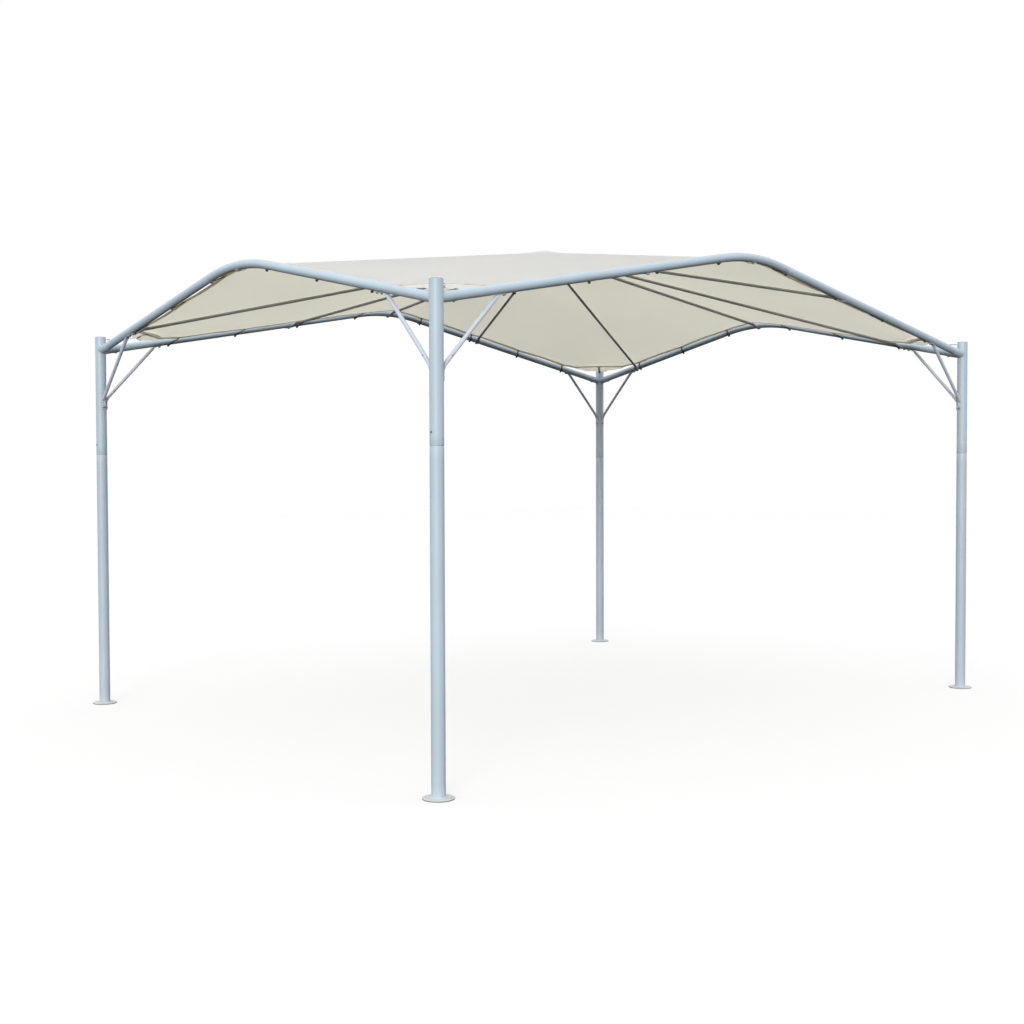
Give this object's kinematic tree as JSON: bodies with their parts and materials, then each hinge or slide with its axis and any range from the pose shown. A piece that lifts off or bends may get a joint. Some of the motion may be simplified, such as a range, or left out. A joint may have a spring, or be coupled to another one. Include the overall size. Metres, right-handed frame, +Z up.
{
  "type": "sun canopy",
  "caption": "Free-standing sun canopy: round posts on foot discs, arched side beams, braces, a centre hub with thin spokes and a stretched pale fabric roof.",
  "frame": {"origin": "on the ground under the hub, at the middle of the footprint", "axes": "+Z up, +X along the two long sides, +Y from the front long side to the back long side"},
  "size_m": [4.13, 3.13, 2.5655],
  "materials": {
    "frame_paint": "light blue-grey powder coat, satin",
    "brace_paint": "light blue-grey powder coat, satin",
    "spoke_paint": "light blue-grey powder coat, satin",
    "canopy_cloth": "pale cream woven polyester, matt, slightly translucent"
  },
  "bodies": {
    "root": {"lower_post_front_left": "frame_paint", "lower_post_front_right": "frame_paint", "lower_post_back_left": "frame_paint", "lower_post_back_right": "frame_paint", "upper_post_front_left": "frame_paint", "upper_post_front_right": "frame_paint", "upper_post_back_left": "frame_paint", "upper_post_back_right": "frame_paint", "front_beam_start": "frame_paint", "front_apex_tube": "frame_paint", "front_beam_end": "frame_paint", "back_beam_start": "frame_paint", "back_apex_tube": "frame_paint", "back_beam_end": "frame_paint", "left_beam_start": "frame_paint", "left_apex_tube": "frame_paint", "left_beam_end": "frame_paint", "right_beam_start": "frame_paint", "right_apex_tube": "frame_paint", "right_beam_end": "frame_paint", "brace_front_front_left": "brace_paint", "brace_left_front_left": "brace_paint", "brace_front_front_right": "brace_paint", "brace_right_front_right": "brace_paint", "brace_back_back_left": "brace_paint", "brace_left_back_left": "brace_paint", "brace_back_back_right": "brace_paint", "brace_right_back_right": "brace_paint", "spoke_front_start": "spoke_paint", "spoke_front_middle": "spoke_paint", "spoke_front_end": "spoke_paint", "spoke_back_start": "spoke_paint", "spoke_back_middle": "spoke_paint", "spoke_back_end": "spoke_paint", "spoke_left_start": "spoke_paint", "spoke_left_middle": "spoke_paint", "spoke_left_end": "spoke_paint", "spoke_right_start": "spoke_paint", "spoke_right_middle": "spoke_paint", "spoke_right_end": "spoke_paint", "hub": "frame_paint", "canopy_sheet": "canopy_cloth"}
  },
  "joints": []
}
